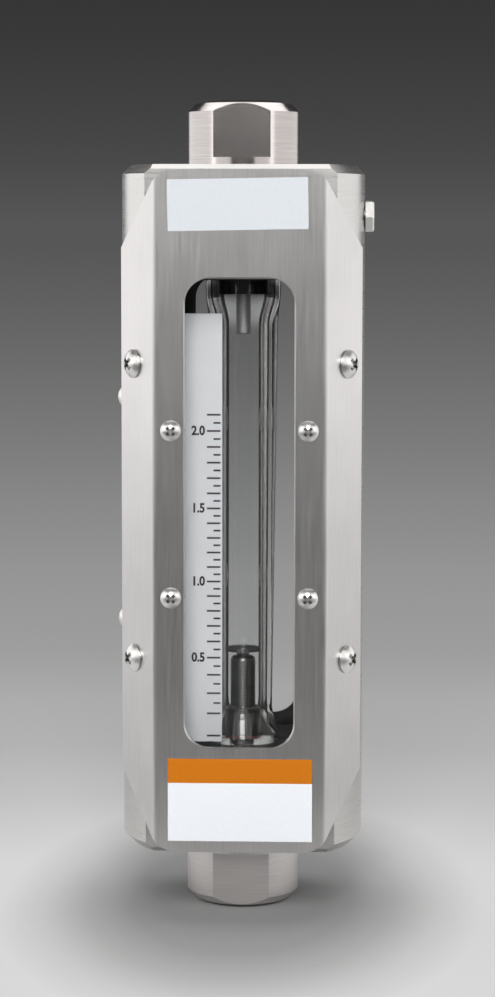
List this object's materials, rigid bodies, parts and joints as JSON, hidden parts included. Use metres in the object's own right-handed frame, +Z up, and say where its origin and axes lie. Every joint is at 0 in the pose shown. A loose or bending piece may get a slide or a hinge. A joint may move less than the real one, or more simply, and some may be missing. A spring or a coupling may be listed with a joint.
{
  "type": "rotameter",
  "caption": "Armoured glass-tube flow meter: a float rises in a tapered tube inside a slotted round steel body with folded window shields and a threaded port at each end.",
  "frame": {"origin": "centre of the inlet fitting's end face, which the meter stands on", "axes": "+Z up along the tube from inlet to outlet, -Y the front with the scale, +X to the right"},
  "size_m": [0.0868, 0.0728, 0.273],
  "materials": {
    "body_steel": "turned and milled",
    "fitting_steel": "turned",
    "shield_steel": "brushed along the length",
    "screw_steel": "bright",
    "float_steel": "turned",
    "tube_glass": "polished",
    "pane": "clear, polished",
    "white_ptfe": "smooth",
    "black_plastic": "smooth",
    "seal_rubber": "smooth",
    "scale_white": "satin white",
    "upper_label": "plain white sticker",
    "lower_label": "white with an orange band"
  },
  "bodies": {
    "meter": {"body_frame": "body_steel", "inlet_fitting": "fitting_steel", "outlet_fitting": "fitting_steel", "front_shield": "shield_steel", "rear_shield": "shield_steel", "front_pane": "pane", "rear_pane": "pane", "glass_tube": "tube_glass", "upper_stop": "black_plastic", "stop_pin": "float_steel", "lower_stop": "white_ptfe", "upper_packing": "white_ptfe", "lower_packing": "white_ptfe", "upper_follower": "fitting_steel", "lower_follower": "fitting_steel", "inlet_seal": "seal_rubber", "outlet_seal": "seal_rubber", "scale_plate": "scale_white", "scale_screws": "screw_steel", "scale_nuts": "screw_steel", "lock_screw": "screw_steel", "front_window_screws": "screw_steel", "rear_window_screws": "screw_steel", "front_window_nuts": "screw_steel", "rear_window_nuts": "screw_steel", "front_shield_screws": "screw_steel", "rear_shield_screws": "screw_steel", "upper_label": "upper_label", "lower_label": "lower_label"},
    "float": {"float": "float_steel"}
  },
  "joints": [
    {"name": "float_travel", "type": "slide", "parent": "meter", "child": "float", "axis": [0, 0, 1], "range_m": [0, 0.1072]}
  ]
}
